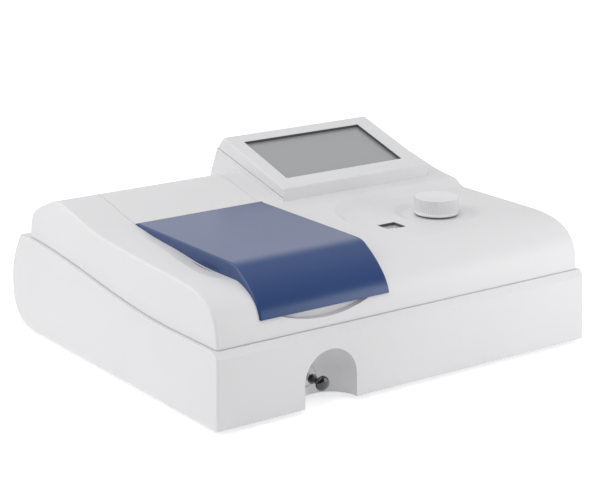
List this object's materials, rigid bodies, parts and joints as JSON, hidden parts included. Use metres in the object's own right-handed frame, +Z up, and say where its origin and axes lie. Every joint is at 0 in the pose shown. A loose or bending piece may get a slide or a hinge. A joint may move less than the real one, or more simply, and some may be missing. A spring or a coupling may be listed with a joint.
{
  "type": "spectrophotometer",
  "caption": "Bench spectrophotometer with hinged sample lid, tilted touch display, knurled wavelength knob with drum counter, pull-rod cell carriage and grating drive.",
  "frame": {"origin": "on the bench, under the middle of the casing's footprint", "axes": "+X to the right side seen from the front, +Y to the back, +Z up"},
  "size_m": [0.445, 0.3926, 0.1831],
  "materials": {
    "case_plastic": "fine satin, off-white",
    "lid_blue": "satin translucent blue",
    "screen": "touch panel, unlit grey",
    "knob_white": "knurled, satin",
    "black_gloss": "glossy black",
    "black_plastic": "moulded black",
    "rubber": "soft black",
    "steel": "ground and turned",
    "brass": "machined",
    "black_anodised": "matt black anodised",
    "sheet_metal": "zinc plated sheet",
    "aluminium": "machined",
    "mirror": "front-coated",
    "clear_glass": "clear",
    "ceramic": "unglazed ceramic",
    "circuit_board": "green solder mask",
    "drum_white": "printed drum"
  },
  "bodies": {
    "case": {"lower_housing": "case_plastic", "upper_housing": "case_plastic", "hinge_cover": "case_plastic", "display_base": "case_plastic", "display_bezel": "case_plastic", "touch_panel": "screen", "lcd_module": "sheet_metal", "display_board": "circuit_board", "base_plate": "sheet_metal", "rubber_feet": "rubber", "case_screws": "steel", "rear_panel": "sheet_metal", "sample_chamber": "black_anodised", "guide_rods": "steel", "rod_bush": "brass", "detector_housing": "black_anodised", "detector_board": "circuit_board", "photodiode": "aluminium", "monochromator_housing": "black_anodised", "mono_cover": "black_anodised", "slit_plates": "steel", "mirror_holders": "aluminium", "concave_mirrors": "mirror", "spindle_bush": "brass", "screw_brackets": "aluminium", "counter_frame": "aluminium", "counter_window": "clear_glass", "shaft_bush": "brass", "lamp_house": "sheet_metal", "condenser_lens": "clear_glass", "lamp_socket": "ceramic", "halogen_lamp": "clear_glass", "fan_frame": "black_plastic", "power_inlet": "black_plastic", "switch_frame": "black_plastic", "data_port": "steel", "main_board": "circuit_board", "power_supply": "sheet_metal"},
    "lid": {"compartment_lid": "lid_blue", "lid_hinge_pin": "steel"},
    "carriage": {"cell_carriage": "black_anodised", "pull_rod": "steel", "pull_knob": "black_gloss"},
    "knob": {"wavelength_knob": "knob_white", "knob_shaft": "steel", "knob_bevel_gear": "brass"},
    "screw": {"lead_screw": "steel", "screw_bevel_pinion": "brass", "counter_drive_gear": "brass"},
    "nut": {"drive_nut": "brass"},
    "grating_table": {"grating_spindle": "steel", "grating": "mirror", "sine_arm": "aluminium"},
    "units": {"units_drum": "drum_white", "counter_shaft": "steel", "counter_gear": "brass"},
    "tens": {"tens_drum": "drum_white"},
    "hundreds": {"hundreds_drum": "drum_white"},
    "fan": {"fan_rotor": "black_plastic"},
    "rocker": {"switch_rocker": "black_plastic"}
  },
  "joints": [
    {"name": "lid_hinge", "type": "hinge", "parent": "case", "child": "lid", "pos_m": [-0.09675, 0.02325, 0.1345], "axis": [-1, 0, 0], "range_deg": [0, 85]},
    {"name": "carriage_slide", "type": "slide", "parent": "case", "child": "carriage", "axis": [0, -1, 0], "range_m": [0, 0.048]},
    {"name": "knob_turn", "type": "hinge", "parent": "case", "child": "knob", "pos_m": [0.127, -0.07325, 0.093], "axis": [0, 0, -1], "range_deg": [-1591, 3269]},
    {"name": "screw_turn", "type": "hinge", "parent": "case", "child": "screw", "pos_m": [0.06, -0.07325, 0.093], "axis": [-1, 0, 0], "range_deg": [-3190, 6545]},
    {"name": "nut_slide", "type": "slide", "parent": "case", "child": "nut", "axis": [1, 0, 0], "range_m": [-0.0089, 0.0182]},
    {"name": "grating_turn", "type": "hinge", "parent": "case", "child": "grating_table", "pos_m": [0.04, -0.01275, 0.071], "axis": [0, 0, 1], "range_deg": [-8.8, 18.1]},
    {"name": "units_turn", "type": "hinge", "parent": "case", "child": "units", "pos_m": [0.06, -0.08995, 0.111], "axis": [1, 0, 0], "range_deg": [-7960, 16350]},
    {"name": "tens_turn", "type": "hinge", "parent": "case", "child": "tens", "pos_m": [0.0555, -0.08995, 0.111], "axis": [1, 0, 0], "range_deg": [-797, 1636]},
    {"name": "hundreds_turn", "type": "hinge", "parent": "case", "child": "hundreds", "pos_m": [0.0487, -0.08995, 0.111], "axis": [1, 0, 0], "range_deg": [-80, 164]},
    {"name": "fan_spin", "type": "hinge", "parent": "case", "child": "fan", "pos_m": [-0.075, 0.15225, 0.051], "axis": [0, 1, 0], "continuous": true},
    {"name": "mains_switch", "type": "hinge", "parent": "case", "child": "rocker", "pos_m": [-0.02, 0.16325, 0.049], "axis": [1, 0, 0], "range_deg": [0, 14]}
  ],
  "couplings": [
    {"joint": "screw_turn", "follows": "knob_turn", "ratio": 2},
    {"joint": "nut_slide", "follows": "knob_turn", "m_per_rad": 0.00031831},
    {"joint": "grating_turn", "follows": "knob_turn", "ratio": 0.005492},
    {"joint": "units_turn", "follows": "knob_turn", "ratio": 5},
    {"joint": "tens_turn", "follows": "knob_turn", "ratio": 0.5},
    {"joint": "hundreds_turn", "follows": "knob_turn", "ratio": 0.05}
  ]
}
